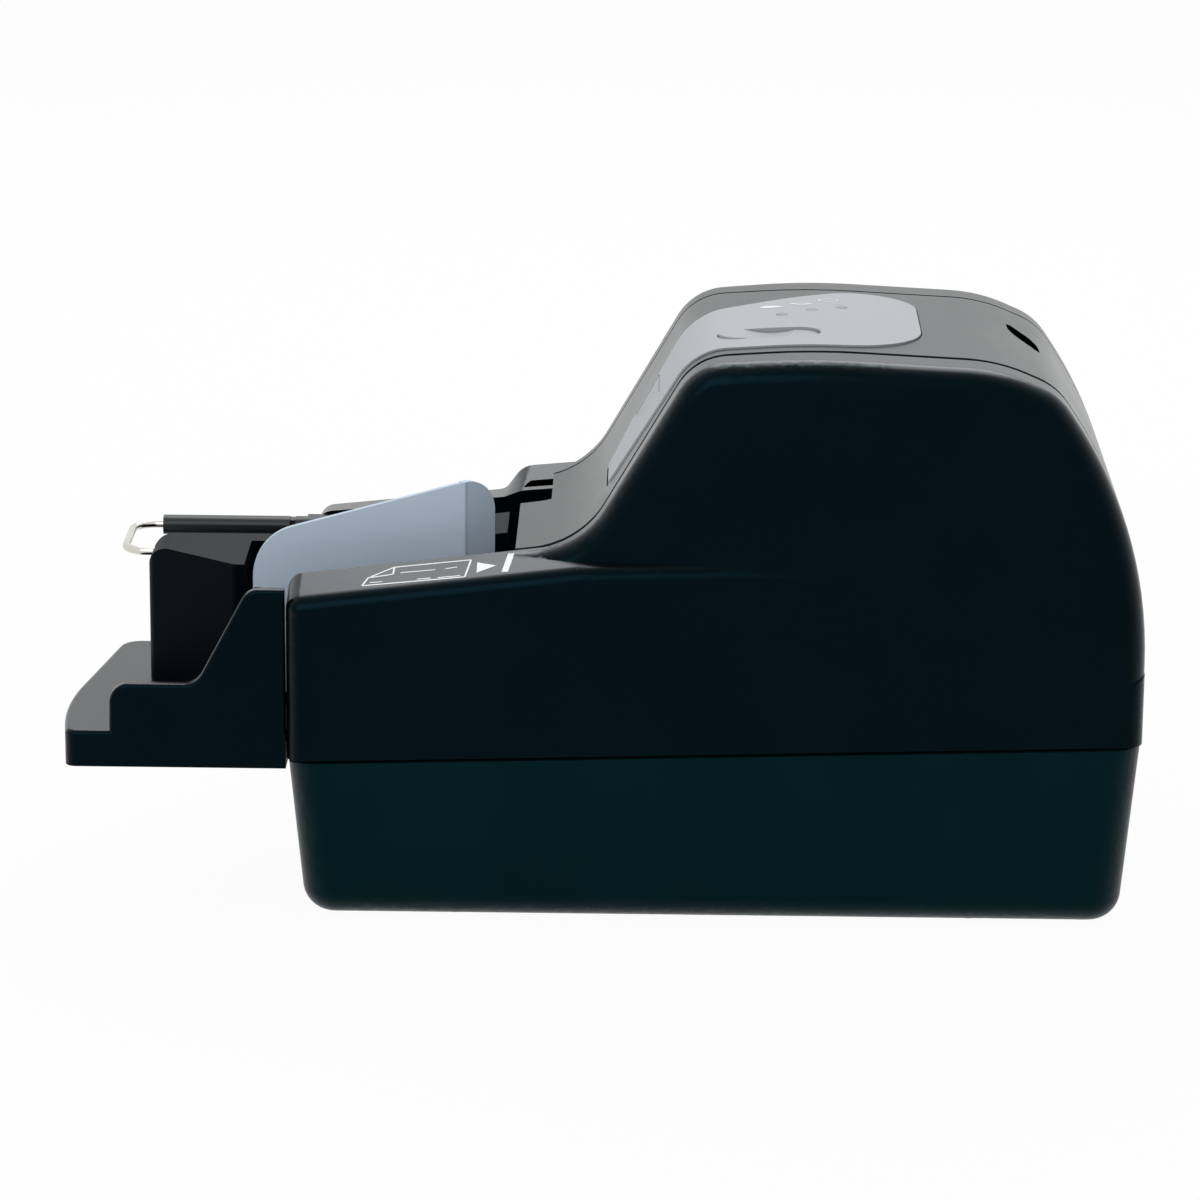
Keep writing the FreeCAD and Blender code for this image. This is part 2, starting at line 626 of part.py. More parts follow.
def make_top_cover():
    top = d.far_overrun
    outer = prism("top_block", "XZ", dome_corners(d.cover_rear_height, d.cover_front), -slot_inner,
                  cover_far)
    sides = (-slot_inner.value, cover_far.value)

    def on_seam(edge):
        bounds = box_of(edge)
        to_side = min(abs(bounds.YMin - side) for side in sides)
        at_side = bounds.YLength < d.fit.value and to_side < d.fit.value
        return at_side and bounds.ZMax > up(LEDGE_FRONT_SHARE).value

    rounded = round_edges("top_rounded", outer, d.seam_round, on_seam)
    inside = (d.cover_lip_wall - slot_inner, cover_far - d.cover_lip_wall)
    face = outline("top_hollow_face", "XZ", dome_corners(d.cover_rear_height, d.cover_front), inside[0])
    hollow = extrude("top_hollow", offset("top_hollow_offset", face, -d.wall), "XZ", inside[1] - inside[0])
    lip_face = outline("top_lip_face", "XZ", dome_corners(ZERO, d.cover_front - d.overrun), -half_width)
    lip = extrude("top_lip", offset("top_lip_offset", lip_face, -d.cover_lip_depth), "XZ", d.body_width)
    under = box("top_under", (d.cover_front + d.wall, body_rear - d.wall), (-half_width, half_width),
                (ZERO, d.cover_rear_height + d.cover_lip_depth))
    skirt = box("top_skirt", (d.cover_front - d.overrun, d.hinge_x), (-half_width, half_width),
                (ZERO, hinge_height + d.wall))
    pocket = box("top_pocket", (d.cover_front - d.overrun, d.pocket_rear), (d.pocket_near, half_width),
                 (ZERO, top))
    bed = common("panel_bed",
                 prism("panel_bed_plan", "XY", panel_corners(d.button_gap), hinge_height, top),
                 skin("panel_bed_skin", d.overrun, -d.panel_thickness))
    x, y = d.recess_x, d.recess_y
    finger = prism("finger_slot", "XY", ((x - d.recess_slant, y + d.recess_reach, d.recess_tip_round),
                                         (x - d.recess_half, y, d.recess_round),
                                         (x + d.recess_slant, y - d.recess_reach, d.recess_tip_round),
                                         (x + d.recess_half, y, d.recess_round)),
                   d.deck_top * 2, top)
    button_hole = prism("button_hole", "XY",
                        stadium(d.button_x, d.button_y, d.button_length, d.button_width, d.button_gap),
                        d.deck_top * 2, top)
    light_holes = [rod("light_hole_%d" % i, (x, y, crest(x) - d.overrun), d.light_radius, d.overrun * 2)
                   for i, (x, y) in enumerate(light_places(), start=1)]
    shell = cut("top_shell", rounded, hollow, lip, under, skirt, pocket, bed, finger, button_hole,
                *light_holes)
    ears = []
    for i, y in enumerate((hinge_near, d.hinge_far), start=1):
        barrel = rod("ear_barrel_%d" % i, (d.hinge_x, y, hinge_height), d.hinge_barrel_radius,
                     d.hinge_ear_length, "XZ")
        web = box("ear_web_%d" % i, (d.hinge_x, d.hinge_x + d.hinge_barrel_radius),
                  (y, y + d.hinge_ear_length),
                  (hinge_height, hinge_height + d.hinge_barrel_radius * EAR_WEB_SHARE))
        ears += [barrel, web]
    bore = rod("ear_bore", (d.hinge_x, hinge_near - d.overrun, hinge_height),
               d.hinge_pin_radius + d.shaft_clearance, d.body_width / 2, "XZ")
    node(cut("top", fuse("top_with_ears", shell, *ears), bore), "top_cover")
    plan = prism("panel_plan", "XY", panel_corners(ZERO), hinge_height, top)
    sheet_layer = common("panel_sheet", plan, skin("panel_skin", d.panel_proud, -d.panel_thickness))
    glass_hole = prism("window_hole", "XY", window_corners(d.shaft_clearance), hinge_height, top)
    panel_button_hole = prism("panel_button_hole", "XY",
                              stadium(d.button_x, d.button_y, d.button_length, d.button_width, d.button_gap),
                              d.deck_top * 2, top)
    panel_light_holes = [rod("panel_light_hole_%d" % i, (x, y, crest(x) - d.overrun),
                             d.light_radius + d.shaft_clearance, d.overrun * 2)
                         for i, (x, y) in enumerate(light_places(), start=1)]
    node(cut("panel", sheet_layer, glass_hole, panel_button_hole, *panel_light_holes), "control_panel")
    glass = prism("window_plan", "XY", window_corners(ZERO), hinge_height, top)
    node(common("window", glass, skin("window_skin", d.panel_proud - d.shaft_clearance, -d.panel_thickness)),
         "panel_window")
    button_top = crest(d.button_x) + d.panel_proud - d.button_sink
    body = prism("button_body", "XY", stadium(d.button_x, d.button_y, d.button_length, d.button_width, ZERO),
                 button_top - d.button_height, button_top)
    dish = rod("button_dish", (d.button_x, d.button_y - d.button_width, button_top + d.button_dish_radius
                               - d.button_dish_depth), d.button_dish_radius, d.button_width * 2, "XZ")
    node(cut("button", body, dish), "feed_button")
    lights = []
    for i, (x, y) in enumerate(light_places(), start=1):
        lights.append(rod("light_%d" % i, (x, y, crest(x) - d.light_height), d.light_radius,
                          d.light_height + d.panel_proud))
    node(group("lights", *lights), "status_lights")


# Tray, centre wall, plate, arm and wire
def make_feeder():
    back = d.body_front - d.fit
    front = -d.overall_length / 2
    plate = prism("tray_plate", "XY", ((back, tray_near, ZERO), (back, tray_far, ZERO),
                                       (front + d.tray_bow * TRAY_BOW_SHARE, tray_far, d.tray_bow),
                                       (front - d.tray_bow / 6, tray_near / 2, d.tray_length * 2),
                                       (front + d.tray_bow / 3, tray_near, d.tray_bow / 2)),
                  d.tray_bottom, d.tray_bottom + d.tray_thickness)
    wall_outline = ((d.tray_wall_front, d.tray_bottom, ZERO), (back, d.tray_bottom, ZERO),
                    (back, d.tray_wall_height, ZERO),
                    (d.tray_wall_crest, d.tray_wall_height, d.tray_wall_round),
                    (d.tray_wall_step, d.tray_wall_low_height, d.tray_wall_round),
                    (d.tray_wall_front, d.tray_wall_low_height, d.tray_wall_round))
    wall = prism("tray_wall", "XZ", wall_outline, tray_near, tray_near + d.tray_wall)

    def top_rim(edge):
        bounds = box_of(edge)
        above_plate = bounds.ZMax > d.tray_bottom.value + d.tray_thickness.value * TRAY_RIM_SHARE
        return bounds.YLength < d.fit.value and above_plate

    soft_wall = round_edges("tray_wall_rounded", wall, d.tray_wall * TRAY_WALL_ROUND_SHARE, top_rim)
    plate_top = d.tray_bottom.value + d.tray_thickness.value

    def plate_rim(edge):
        bounds = box_of(edge)
        return bounds.ZMin > plate_top - d.fit.value and bounds.XMin < back.value - d.fit.value

    soft_plate = round_edges("tray_plate_rounded", plate, d.wall * TRAY_ROUND_SHARE, plate_rim)
    tongue = box("tray_tongue", (back - d.fit, d.body_front + d.tray_tongue),
                 (-d.tray_tongue_half, d.tray_tongue_half), (d.seam_front_height + d.seam_gap, deck_bottom))
    node(fuse("tray", soft_plate, soft_wall, tongue), "front_tray")
    plan = ((d.nose_front, d.wall_far_face, d.wall_round),
            (d.nose_front, d.nose_near, d.wall_round * NOSE_ROUND_SHARE),
            (d.nose_corner_x, d.nose_corner_y, d.wall_round), (d.wall_step_x, d.nose_corner_y, ZERO),
            (d.wall_step_x, d.wall_thin_face, ZERO), (d.wall_thin_end, d.wall_thin_face, d.wall_round),
            (d.wall_slope_x, d.wall_near_face, d.wall_round), (d.wall_rear, d.wall_near_face, ZERO),
            (d.wall_rear, d.wall_far_face, ZERO))
    block = prism("centre_plan", "XY", plan, d.tray_bottom + d.tray_thickness, d.far_overrun)
    side = prism("centre_side", "XZ",
                 ((d.nose_front, d.tray_bottom, ZERO), (d.wall_rear, d.tray_bottom, ZERO),
                  (d.wall_rear, d.wall_rear_top, ZERO),
                  (d.body_front, d.nose_top, d.nose_side_round),
                  (d.nose_front, d.nose_top, d.nose_side_round)),
                 -d.body_width / 2, d.body_width / 2)
    raw = common("centre_raw", block, side)

    above_deck = box("centre_foot", (d.body_front - d.fit * 2, d.wall_rear + d.overrun),
                     (-half_width, half_width),
                     (ZERO, d.deck_top))
    wire_bore = rod("centre_bore", (d.nose_front - d.overrun, d.wire_near, d.wire_height),
                    d.wire_radius + d.shaft_clearance,
                    d.wire_rear - d.nose_front + d.overrun * BORE_RUN_SHARE, "YZ")
    node(cut("centre", raw, above_deck, wire_bore), "centre_wall")
    pin_x, pin_y = d.plate_pin_x, d.plate_y
    pin = rod("pusher_pin_rod", (pin_x, pin_y, d.tray_bottom + d.tray_thickness), d.plate_pin_radius,
              d.plate_pin_top - d.tray_bottom - d.tray_thickness)
    node(pin, "pusher_pin")
    face = ((pin_x - d.plate_pin_radius, d.plate_foot, ZERO), (d.plate_crease, d.plate_foot, ZERO),
            (d.plate_crease, d.plate_crest, ZERO),
            (pin_x - d.plate_pin_radius, d.plate_front_top, d.plate_front_round))
    sheet_face = prism("plate_face", "XZ", face, pin_y - d.plate_thickness / 2,
                       pin_y + d.plate_thickness / 2)
    tail_sketch = outline("plate_tail_outline", "XZ",
                          ((ZERO, d.plate_foot, ZERO), (d.plate_tail, d.plate_foot, ZERO),
                           (d.plate_tail, d.plate_crest, d.plate_tail_round),
                           (ZERO, d.plate_crest, ZERO)))
    turn = FreeCAD.Rotation(FreeCAD.Vector(0, 0, 1), d.plate_turn.value)
    tail_sketch.Placement = FreeCAD.Placement(FreeCAD.Vector(), turn.multiply(PLANES["XZ"][0]))
    bind(tail_sketch, "Placement.Base.x", d.plate_crease)
    bind(tail_sketch, "Placement.Base.y", pin_y - d.plate_thickness / 2)
    tail = add("Part::Extrusion", "plate_tail_sheet")
    tail.Base = tail_sketch
    tail.DirMode = "Normal"
    tail.Reversed = True
    tail.Solid = True
    bind(tail, "LengthFwd", d.plate_thickness)
    barrel = rod("plate_barrel", (pin_x, pin_y, d.plate_foot), d.plate_barrel_radius,
                 d.plate_barrel_top - d.plate_foot)
    bore = rod("plate_bore", (pin_x, pin_y, ZERO), d.plate_pin_radius + d.shaft_clearance,
               d.plate_pin_top + d.fit)
    crease_fill = rod("plate_crease_fill", (d.plate_crease, pin_y, d.plate_foot), d.plate_thickness / 2,
                      d.plate_crest - d.plate_foot)
    node(cut("pusher", fuse("pusher_sheet", sheet_face, tail, barrel, crease_fill), bore), "pusher_plate")
    arm_y = wire_far
    arm = box("arm_bar", (d.arm_front, d.arm_rear), (arm_y - d.arm_width / 2, arm_y + d.arm_width / 2),
              (d.arm_bottom, d.arm_top))
    stub = box("arm_stub", (d.arm_notch + d.arm_notch_length * 3, d.arm_rear), (arm_y, slot_outer),
               (d.arm_bottom, d.arm_top))
    soft_arm = round_edges("arm_rounded", arm, d.arm_round,
                           lambda edge: box_of(edge).XLength > d.arm_width.value)
    notch = cut("arm_notch_ring",
                box("arm_notch_block", (d.arm_notch, d.arm_notch + d.arm_notch_length),
                    (-half_width, half_width),
                    (ZERO, d.far_overrun)),
                box("arm_neck", (d.arm_notch - d.overrun, d.arm_notch + d.overrun),
                    (arm_y - d.arm_width / 2 + d.arm_notch_depth,
                     arm_y + d.arm_width / 2 - d.arm_notch_depth),
                    (d.arm_bottom + d.arm_notch_depth / 2, d.arm_top - d.arm_notch_depth / 2)))
    arm_bore = rod("arm_bore", (d.arm_front - d.overrun, arm_y, d.wire_height),
                   d.wire_radius + d.shaft_clearance,
                   d.far_overrun, "YZ")
    node(cut("arm", fuse("arm_with_stub", soft_arm, stub), notch, arm_bore), "pocket_arm")
    length = d.wire_rear - d.wire_front - d.wire_bend
    legs = [rod("wire_leg_%d" % i, (d.wire_front + d.wire_bend, y, d.wire_height), d.wire_radius, length,
                "YZ")
            for i, y in enumerate((d.wire_near, wire_far), start=1)]
    cross = rod("wire_cross", (d.wire_front, d.wire_near + d.wire_bend, d.wire_height), d.wire_radius,
                wire_far - d.wire_near - d.wire_bend * 2, "XZ")
    bends = []
    for i, (y, start) in enumerate(((d.wire_near + d.wire_bend, 180), (wire_far - d.wire_bend, 90)),
                                   start=1):
        bend = add("Part::Torus", "wire_bend_%d" % i)
        bind(bend, "Radius1", d.wire_bend)
        bind(bend, "Radius2", d.wire_radius)
        bend.Angle3 = 90
        bend.Placement = FreeCAD.Placement(FreeCAD.Vector(),
                                           FreeCAD.Rotation(FreeCAD.Vector(0, 0, 1), start))
        bends.append(move(bend, d.wire_front + d.wire_bend, y, d.wire_height))
    node(fuse("wire", cross, *legs, *bends), "wire_stop")


# Rear panel and its sockets
def make_rear():
    face = box("rear_panel_block", (body_rear - d.wall, body_rear),
               (-slot_outer + d.fit, slot_outer - d.fit),
               (d.seam_rear_height - d.seam_gap / 2, rear_panel_top))
    feet = [box("rear_lug_%d" % i, (body_rear - d.wall - d.lug_length, body_rear - d.wall + d.fit),
                (y - d.lug_width / 2, y + d.lug_width / 2), (d.deck_top, d.deck_top + d.wall))
            for i, y in enumerate((-d.lug_side, d.lug_side), start=1)]
    jack_hole = rod("jack_hole", (body_rear - d.overrun, d.jack_y, jack_height), d.jack_radius,
                    d.overrun * 2, "YZ")
    usb_low, usb_high = jack_height - d.usb_height / 2, jack_height + d.usb_height / 2
    usb_y = (d.usb_y - d.usb_width / 2, d.usb_y + d.usb_width / 2)
    usb_hole = box("usb_hole", (body_rear - d.overrun, body_rear + d.overrun), usb_y, (usb_low, usb_high))
    node(cut("rear_face", fuse("rear_with_lugs", face, *feet), jack_hole, usb_hole), "rear_panel")
    jack = rod("jack_body", (body_rear - d.jack_depth, d.jack_y, jack_height), d.jack_radius,
               d.jack_depth, "YZ")
    jack_bore = rod("jack_bore_hole", (body_rear - d.jack_depth + d.wall / 2, d.jack_y, jack_height),
                    d.jack_bore,
                    d.jack_depth, "YZ")
    jack_pin = rod("jack_pin", (body_rear - d.jack_depth + d.wall / 4, d.jack_y, jack_height),
                   d.jack_pin_radius,
                   d.jack_depth * JACK_PIN_SHARE, "YZ")
    node(fuse("jack", cut("jack_cup", jack, jack_bore), jack_pin), "power_jack")
    usb = box("usb_body", (body_rear - d.usb_depth, body_rear), usb_y, (usb_low, usb_high))
    usb_bore = box("usb_bore", (body_rear - d.usb_depth + d.usb_wall * 2, body_rear + d.overrun),
                   (usb_y[0] + d.usb_wall, usb_y[1] - d.usb_wall),
                   (usb_low + d.usb_wall, usb_high - d.usb_wall))
    tongue = box("usb_tongue", (body_rear - d.usb_depth + d.usb_wall, body_rear - d.usb_wall * 2),
                 (d.usb_y - d.usb_width / 5, d.usb_y + d.usb_width / 5),
                 (jack_height - d.usb_tongue / 2, jack_height + d.usb_tongue / 2))
    node(fuse("usb", cut("usb_shell", usb, usb_bore), tongue), "usb_socket")


# Track, drive and readers
turn_reach = d.turn_centre + slot_inner
STATIONS = [(ZERO, -1), (d.drive_near, -1), (None, 0), (d.drive_near, 1), (ZERO, 1)]


def station_places(radius):
    """Where an axis stands at each station, its radius from the middle of the track."""
    places = []
    for x, side in STATIONS:
        if side:
            places.append((x, side * (track_offset + radius)))
        else:
            places.append((d.turn_centre + track_offset + radius, ZERO))
    return places


def below_skin(name, depth):
    face = outline(name + "_face", "XZ", dome_corners(ZERO, d.cover_front - d.overrun), -half_width)
    return extrude(name, offset(name + "_offset", face, -depth), "XZ", d.body_width)


def window_boxes(name, places, width, low, high):
    reach = width / 2
    return [box("%s_%d" % (name, i), (x - reach, x + reach), (y - reach, y + reach), (low, high))
            for i, (x, y) in enumerate(places, start=1)]


def belt(name, places, radius):
    """A flat belt round pulleys that all stand on its inner side."""
    centre_line = outline(name + "_line", "XY", [(x, y, ZERO) for x, y in places], d.pulley_bottom)
    rings = []
    for tag, lift in (("_outer", radius + d.fit + d.belt_wall), ("_inner", radius + d.fit)):
        ring = offset(name + tag + "_ring", centre_line, lift)
        ring.Join = "Arc"
        rings.append(extrude(name + tag, ring, "XY", d.pulley_height))
    return cut(name + "_loop", *rings)


def make_track():
    low, high = d.tyre_low - d.fit * 6, d.tyre_high + d.tyre_height + d.fit * 6
    drive_places = station_places(-d.drive_radius + d.shaft_clearance)
    pinch_places = station_places(d.pinch_radius + d.roll_clearance - d.shaft_clearance)
    margin = d.wall + d.deck_margin
    deck = box("deck_block", (d.body_front + d.wall * 2 + d.fit, body_rear - margin),
               (-half_width + margin, half_width - margin), (deck_bottom, d.deck_top))
    rounded_deck = round_edges("deck_rounded", deck, d.base_corner - d.wall,
                               lambda edge: box_of(edge).ZLength > d.deck_thickness.value / 2)
    front_tab = box("deck_front_tab", (d.body_front + d.fit, d.feed_x),
                    (-slot_outer + d.fit, slot_outer - d.fit),
                    (deck_bottom, d.deck_top))
    soft_deck = fuse("deck_with_tab", rounded_deck, front_tab)
    shaft_holes = [rod("deck_shaft_hole_%d" % i, (x, y, ZERO), d.drive_shaft_radius + d.shaft_clearance,
                       d.far_overrun) for i, (x, y) in enumerate(drive_places, start=1)]
    feed_hole = rod("deck_feed_hole", (d.feed_x, feed_y, ZERO), d.drive_shaft_radius + d.shaft_clearance,
                    d.far_overrun)
    node(cut("deck", soft_deck, feed_hole, *shaft_holes), "deck_plate")
    # the island that the paper runs round
    side, nose = slot_inner, d.cover_front + d.fit * 4

    def island_plan(inset):
        radius = side - inset - d.fit
        return ((nose + inset, -side + inset, d.guide_wall * ISLAND_ROUND_SHARE),
                (turn_reach - inset, -side + inset, radius),
                (turn_reach - inset, side - inset, radius),
                (d.pocket_rear + inset, side - inset, d.guide_wall * 2),
                (d.pocket_rear + inset, d.pocket_near + inset, ZERO),
                (nose + inset, d.pocket_near + inset, ZERO))

    outer = prism("island_outer", "XY", island_plan(ZERO), d.deck_top, d.far_overrun)
    inner = prism("island_inner", "XY", island_plan(d.guide_wall), ZERO, d.far_overrun)
    ring = cut("island_ring", outer, inner)
    depth = d.cover_lip_depth + d.guide_clearance
    lowered = common("island_lowered", ring, below_skin("island_top", depth))
    sweep = rod("island_hinge_sweep", (d.hinge_x, -half_width, hinge_height), d.overrun, d.body_width,
                "XZ")
    tyre_windows = window_boxes("tyre_window", station_places(ZERO), d.drive_radius * TYRE_WINDOW_SHARE,
                                low, high)
    head_window = box("head_window", (d.head_x, d.head_x + d.head_length),
                      (-side - d.fit, -side + d.guide_wall * 2), (d.deck_top, d.tyre_low + d.head_height))
    camera_window = box("camera_window", (d.camera_x - d.glass_length / 2, d.camera_x + d.glass_length / 2),
                        (-side - d.fit, -side + d.guide_wall * 2),
                        (d.camera_bottom + d.fit, d.camera_bottom + d.camera_height - d.fit))
    frame = cut("island_walls", lowered, sweep, head_window, camera_window, *tyre_windows)
    lugs = []
    gap = d.fit
    for i, y in enumerate((hinge_near, d.hinge_far), start=1):
        start = y + d.hinge_ear_length + gap
        lugs.append(rod("lug_barrel_%d" % i, (d.hinge_x, start, hinge_height), d.hinge_barrel_radius,
                        d.hinge_ear_length, "XZ"))
        lugs.append(box("lug_post_%d" % i, (d.hinge_x - d.hinge_pin_radius, d.hinge_x + d.hinge_pin_radius),
                        (start, start + d.hinge_ear_length), (d.deck_top, hinge_height)))
        lugs.append(box("lug_web_%d" % i, (nose + d.guide_wall / 2, d.hinge_x),
                        (start, start + d.hinge_ear_length),
                        (d.deck_top, hinge_height - d.overrun - d.fit)))
    pin_bore = rod("lug_bore", (d.hinge_x, -half_width, hinge_height), d.hinge_pin_radius, d.body_width,
                   "XZ")
    node(cut("island", fuse("island_with_lugs", frame, *lugs), pin_bore), "island_frame")
    node(rod("hinge_pin_rod", (d.hinge_x, hinge_near + d.fit, hinge_height), d.hinge_pin_radius,
             d.hinge_far - hinge_near + d.hinge_ear_length * 2 + gap, "XZ"), "cover_hinge_pin")
    # the guide round the outside of the track
    side_out, wall = slot_outer, d.guide_wall

    def guide_plan(grow, front):
        radius = side_out + grow - d.fit
        reach = d.turn_centre + side_out + grow
        return ((front, -side_out - grow, ZERO), (reach, -side_out - grow, radius),
                (reach, side_out + grow, radius), (front, side_out + grow, ZERO))

    guide_outer = prism("guide_outer", "XY", guide_plan(wall, d.guide_front), d.deck_top, d.far_overrun)
    guide_inner = prism("guide_inner", "XY", guide_plan(ZERO, d.guide_front - d.overrun), ZERO,
                        d.far_overrun)
    guide_ring = cut("guide_ring", guide_outer, guide_inner)
    guide_low = common("guide_low", guide_ring, below_skin("guide_top", depth))
    pinch_windows = window_boxes("pinch_window", station_places(ZERO), d.pinch_radius * PINCH_WINDOW_SHARE,
                                 low, high)
    rear_window = box("rear_camera_window",
                      (d.rear_camera_x - d.glass_length / 2, d.rear_camera_x + d.glass_length / 2),
                      (-side_out - wall - d.fit, -side_out + d.fit),
                      (d.camera_bottom + d.fit, d.camera_bottom + d.camera_height - d.fit))
    node(cut("guide", guide_low, rear_window, *pinch_windows), "outer_guide")
    # drive shafts with their pulleys, tyres and pinch rollers
    pins = []
    for i, ((x, y), (px, py)) in enumerate(zip(drive_places, pinch_places), start=1):
        shaft = rod("drive_rod_%d" % i, (x, y, d.pulley_bottom), d.drive_shaft_radius,
                    d.drive_shaft_top - d.pulley_bottom)
        pulley = rod("drive_pulley_%d" % i, (x, y, d.pulley_bottom), d.pulley_radius, d.pulley_height)
        node(fuse("drive_spindle_%d" % i, shaft, pulley), "drive_shaft_%d" % i)
        tyres = []
        for tag, z in (("low", d.tyre_low), ("high", d.tyre_high)):
            tyre = rod("tyre_%s_%d" % (tag, i), (x, y, z), d.drive_radius, d.tyre_height)
            hole = rod("tyre_%s_hole_%d" % (tag, i), (x, y, z - d.overrun), d.drive_shaft_radius,
                       d.overrun * 3)
            tyres.append(cut("tyre_%s_ring_%d" % (tag, i), tyre, hole))
        node(group("tyre_pair_%d" % i, *tyres), "drive_tyres_%d" % i)
        pins.append(rod("pinch_pin_%d" % i, (px, py, d.deck_top), d.pinch_pin_radius,
                        d.drive_shaft_top - d.deck_top))
        roll = rod("pinch_body_%d" % i, (px, py, d.tyre_low), d.pinch_radius,
                   d.tyre_high + d.tyre_height - d.tyre_low)
        roll_hole = rod("pinch_hole_%d" % i, (px, py, d.deck_top), d.pinch_pin_radius + d.shaft_clearance,
                        d.far_overrun)
        node(cut("pinch_%d" % i, roll, roll_hole), "pinch_roller_%d" % i)
    node(group("pins", *pins), "pinch_pins")
    # motors
    motor = rod("motor_can", (d.motor_x, ZERO, d.motor_bottom), d.motor_radius, d.motor_height)
    motor_top = d.motor_bottom + d.motor_height
    motor_posts = [rod("motor_post_%d" % i, (d.motor_x + d.motor_post_x, y, motor_top - d.fit),
                       d.motor_post_radius, deck_bottom - motor_top + d.fit)
                   for i, y in enumerate((-d.motor_post_y, d.motor_post_y), start=1)]
    motor_bore = rod("motor_bore", (d.motor_x, ZERO, d.motor_bottom + d.overrun),
                     d.motor_shaft_radius + d.shaft_clearance, d.motor_height)
    node(cut("motor", fuse("motor_with_posts", motor, *motor_posts), motor_bore), "main_motor")
    motor_shaft = rod("motor_shaft", (d.motor_x, ZERO, d.motor_bottom + d.overrun + d.fit),
                      d.motor_shaft_radius,
                      d.pulley_bottom + d.pulley_height - d.motor_bottom - d.overrun - d.fit)
    motor_wheel = rod("motor_wheel", (d.motor_x, ZERO, d.pulley_bottom), d.pulley_radius, d.pulley_height)
    node(fuse("motor_drive", motor_shaft, motor_wheel), "motor_pulley")
    node(belt("main_belt", [(d.motor_x, ZERO)] + drive_places, d.pulley_radius), "drive_belt")
    feed_rod = rod("feed_rod", (d.feed_x, feed_y, d.pulley_bottom), d.drive_shaft_radius,
                   d.drive_shaft_top - d.pulley_bottom)
    feed_wheel = rod("feed_wheel", (d.feed_x, feed_y, d.pulley_bottom), d.feed_pulley_radius,
                     d.pulley_height)
    node(fuse("feed_spindle", feed_rod, feed_wheel), "feed_shaft")
    feed_tyre = rod("feed_tyre_body", (d.feed_x, feed_y, d.tyre_low), d.feed_radius,
                    d.tyre_high + d.tyre_height - d.tyre_low)
    feed_bore = rod("feed_tyre_bore", (d.feed_x, feed_y, ZERO), d.drive_shaft_radius, d.far_overrun)
    node(cut("feed_ring", feed_tyre, feed_bore), "feed_tyre")
    feed_motor = rod("feed_can", (d.feed_x, d.feed_motor_y, d.motor_bottom), d.feed_motor_radius,
                     d.motor_height)
    feed_posts = [rod("feed_post_%d" % i, (d.feed_x + x, d.feed_motor_y + d.feed_post_y, motor_top - d.fit),
                      d.motor_post_radius / 2, deck_bottom - motor_top + d.fit)
                  for i, x in enumerate((-d.feed_post_y, d.feed_post_y), start=1)]
    feed_motor_bore = rod("feed_motor_bore", (d.feed_x, d.feed_motor_y, d.motor_bottom + d.overrun),
                          d.motor_shaft_radius + d.shaft_clearance, d.motor_height)
    node(cut("feed_drive", fuse("feed_with_posts", feed_motor, *feed_posts), feed_motor_bore), "feed_motor")
    feed_motor_shaft = rod("feed_motor_shaft",
                           (d.feed_x, d.feed_motor_y, d.motor_bottom + d.overrun + d.fit),
                           d.motor_shaft_radius, d.pulley_bottom + d.pulley_height - d.motor_bottom
                           - d.overrun - d.fit)
    feed_motor_wheel = rod("feed_motor_wheel", (d.feed_x, d.feed_motor_y, d.pulley_bottom),
                           d.feed_pulley_radius,
                           d.pulley_height)
    node(fuse("feed_motor_drive", feed_motor_shaft, feed_motor_wheel), "feed_pulley")
    span = ((d.feed_x, feed_y), (d.feed_x, d.feed_motor_y))
    loop = []
    for tag, lift in (("outer", d.feed_pulley_radius + d.fit + d.belt_wall),
                      ("inner", d.feed_pulley_radius + d.fit)):
        ends = [rod("feed_belt_%s_%d" % (tag, i), (x, y, d.pulley_bottom), lift, d.pulley_height)
                for i, (x, y) in enumerate(span, start=1)]
        run = box("feed_belt_%s_run" % tag, (d.feed_x - lift, d.feed_x + lift), (feed_y, d.feed_motor_y),
                  (d.pulley_bottom, d.pulley_bottom + d.pulley_height))
        loop.append(fuse("feed_belt_" + tag, run, *ends))
    node(cut("feed_belt_loop", *loop), "feed_belt")


